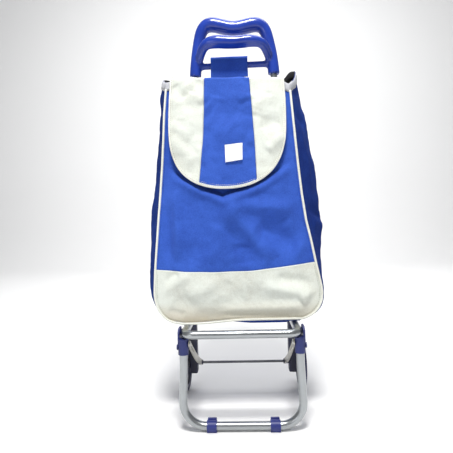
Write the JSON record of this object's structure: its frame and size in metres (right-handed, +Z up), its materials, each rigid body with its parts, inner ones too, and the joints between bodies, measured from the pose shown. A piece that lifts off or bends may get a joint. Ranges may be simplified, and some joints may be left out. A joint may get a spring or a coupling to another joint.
{
  "type": "shopping trolley on wheels",
  "caption": "Two-wheeled shopping trolley: fabric bag with lid flap on a steel tube frame, moulded handle, fold-up shelf and stand.",
  "frame": {"origin": "on the floor, under the middle of the bounding box", "axes": "+Z up, front of the trolley towards -Y, +X to the right seen from the front"},
  "size_m": [0.3658, 0.285, 0.8934],
  "materials": {
    "steel_tube": "satin silver-painted or polished steel tube",
    "zinc_plate": "zinc-plated steel strip and rivets",
    "axle_steel": "plain dark steel rod",
    "handle_plastic": "glossy royal-blue moulded plastic",
    "navy_plastic": "dark navy moulded plastic",
    "sleeve_plastic": "blue moulded plastic, semi-gloss",
    "tyre": "matt dark navy-black foam rubber",
    "blue_fabric": "royal-blue woven polyester, coated at the back",
    "cream_fabric": "cream woven polyester",
    "piping": "off-white piping and binding tape",
    "hem_fabric": "pale grey hem tape",
    "label": "plain white woven label without text"
  },
  "bodies": {
    "frame": {"axle": "axle_steel", "axle_caps": "navy_plastic", "axle_spacers": "zinc_plate", "axle_washers": "zinc_plate", "bag_back": "blue_fabric", "bag_bottom": "blue_fabric", "bag_front": "blue_fabric", "bag_hem": "hem_fabric", "bag_lower_front": "cream_fabric", "bag_piping": "piping", "bag_side_left": "blue_fabric", "bag_side_right": "blue_fabric", "bag_ties_left": "blue_fabric", "bag_ties_right": "blue_fabric", "brace_rivets": "zinc_plate", "bracket_left": "navy_plastic", "bracket_right": "navy_plastic", "cross_brace": "zinc_plate", "fold_pins": "zinc_plate", "handle": "handle_plastic", "handle_screws": "zinc_plate", "hanging_loop": "blue_fabric", "post_left": "steel_tube", "post_right": "steel_tube"},
    "wheel_left": {"wheel_hub_left": "navy_plastic", "wheel_tyre_left": "tyre"},
    "wheel_right": {"wheel_hub_right": "navy_plastic", "wheel_tyre_right": "tyre"},
    "shelf": {"shelf_tube": "steel_tube"},
    "stand": {"stand_tube": "steel_tube", "sleeve_left": "sleeve_plastic", "sleeve_right": "sleeve_plastic", "sleeve_rivets": "sleeve_plastic", "foot_clip_left": "sleeve_plastic", "foot_clip_right": "sleeve_plastic"},
    "stay_left": {"stay_left": "zinc_plate", "stay_rivet_left": "zinc_plate"},
    "stay_right": {"stay_right": "zinc_plate", "stay_rivet_right": "zinc_plate"},
    "flap": {"flap_blue_centre": "blue_fabric", "flap_cream_left": "cream_fabric", "flap_cream_right": "cream_fabric", "flap_binding": "piping", "label_patch": "label"}
  },
  "joints": [
    {"name": "wheel_left_spin", "type": "hinge", "parent": "frame", "child": "wheel_left", "pos_m": [-0.13765, 0.0775, 0.065], "axis": [1, 0, 0], "continuous": true},
    {"name": "wheel_right_spin", "type": "hinge", "parent": "frame", "child": "wheel_right", "pos_m": [0.13765, 0.0775, 0.065], "axis": [1, 0, 0], "continuous": true},
    {"name": "shelf_fold", "type": "hinge", "parent": "frame", "child": "shelf", "pos_m": [0, 0.0495, 0.189], "axis": [-1, 0, 0], "range_deg": [0, 80], "deforming": ["bag_front", "bag_lower_front", "bag_bottom", "bag_side_left", "bag_side_right", "bag_piping"]},
    {"name": "stand_fold", "type": "hinge", "parent": "shelf", "child": "stand", "pos_m": [0, -0.1075, 0.189], "axis": [-1, 0, 0], "range_deg": [-80, 0]},
    {"name": "stay_left_swing", "type": "hinge", "parent": "frame", "child": "stay_left", "pos_m": [-0.10025, 0.0775, 0.065], "axis": [-1, 0, 0], "range_deg": [0, 46.9]},
    {"name": "stay_right_swing", "type": "hinge", "parent": "frame", "child": "stay_right", "pos_m": [0.10025, 0.0775, 0.065], "axis": [-1, 0, 0], "range_deg": [0, 46.9]},
    {"name": "flap_lift", "type": "hinge", "parent": "frame", "child": "flap", "pos_m": [0, 0.0621, 0.7514], "axis": [1, 0, 0], "range_deg": [-68, 0]}
  ],
  "couplings": [
    {"joint": "stand_fold", "follows": "shelf_fold", "ratio": -1},
    {"joint": "stay_left_swing", "follows": "shelf_fold", "ratio": 0.5861},
    {"joint": "stay_right_swing", "follows": "shelf_fold", "ratio": 0.5861}
  ]
}
